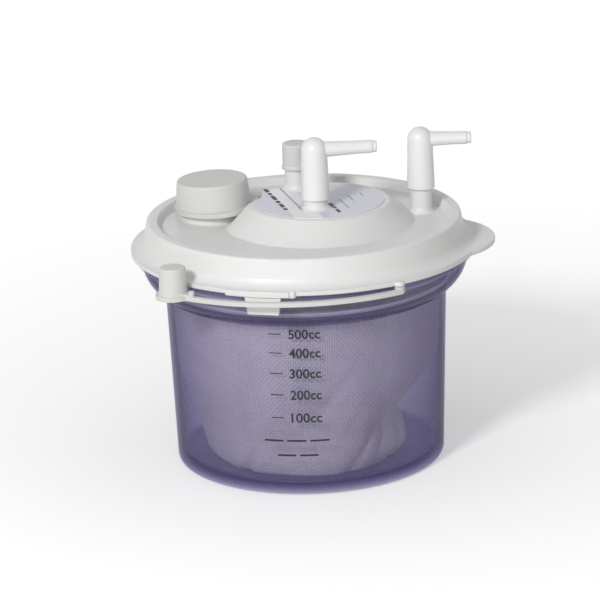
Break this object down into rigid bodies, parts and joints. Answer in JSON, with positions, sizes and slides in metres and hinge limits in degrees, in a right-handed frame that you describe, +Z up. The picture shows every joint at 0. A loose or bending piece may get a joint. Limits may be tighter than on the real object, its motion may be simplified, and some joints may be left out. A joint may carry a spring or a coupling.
{
  "type": "fat collection canister",
  "caption": "Tinted clear jar with a mesh filter bag under a white press-on lid with two hose elbows, a capped pour spout and a tethered cap.",
  "frame": {"origin": "centre of the jar's flat base", "axes": "+Z up along the jar's axis, +X the way the hose elbows point, -Y the front with the volume scale"},
  "size_m": [0.1531, 0.1511, 0.1409],
  "materials": {
    "tinted_clear": "clear moulded styrene plastic with a purple tint, polished",
    "white_plastic": "satin moulded polyethylene",
    "white_elbow": "smooth moulded vinyl",
    "filter_mesh": "fine plain-woven nylon mesh",
    "label_film": "thin printed film",
    "seal_rubber": "soft silicone"
  },
  "bodies": {
    "jar": {"jar": "tinted_clear", "bag_hoop": "white_plastic", "bag": "filter_mesh"},
    "lid": {"lid": "white_plastic", "label": "label_film", "float_housing": "white_plastic"},
    "spout_cap": {"spout_cap": "white_plastic"},
    "tandem_cap": {"tandem_cap": "white_plastic"},
    "vacuum_elbow": {"vacuum_elbow": "white_elbow"},
    "inlet_elbow": {"inlet_elbow": "white_elbow"},
    "front_tether": {"front_tether": "white_plastic"},
    "float": {"float": "white_plastic", "float_seal": "seal_rubber"}
  },
  "joints": [
    {"name": "lid_lift", "type": "slide", "parent": "jar", "child": "lid", "axis": [0, 0, 1], "range_m": [0, 0.06]},
    {"name": "spout_cap_pull", "type": "slide", "parent": "lid", "child": "spout_cap", "axis": [-0.0349, 0, 0.9994], "range_m": [0, 0.016]},
    {"name": "tandem_cap_pull", "type": "slide", "parent": "lid", "child": "tandem_cap", "axis": [0, 0, 1], "range_m": [0, 0.012]},
    {"name": "vacuum_elbow_swivel", "type": "hinge", "parent": "lid", "child": "vacuum_elbow", "pos_m": [0.0053, -0.01111, 0.115], "axis": [0, 0, 1], "continuous": true},
    {"name": "inlet_elbow_swivel", "type": "hinge", "parent": "lid", "child": "inlet_elbow", "pos_m": [0.0499, 0.01052, 0.1125], "axis": [0, 0, 1], "continuous": true},
    {"name": "front_tether_swing", "type": "hinge", "parent": "lid", "child": "front_tether", "pos_m": [0.03781, -0.06268, 0.09], "axis": [0, 0, 1], "range_deg": [0, 90]},
    {"name": "float_rise", "type": "slide", "parent": "lid", "child": "float", "axis": [0, 0, 1], "range_m": [0, 0.0058]}
  ]
}
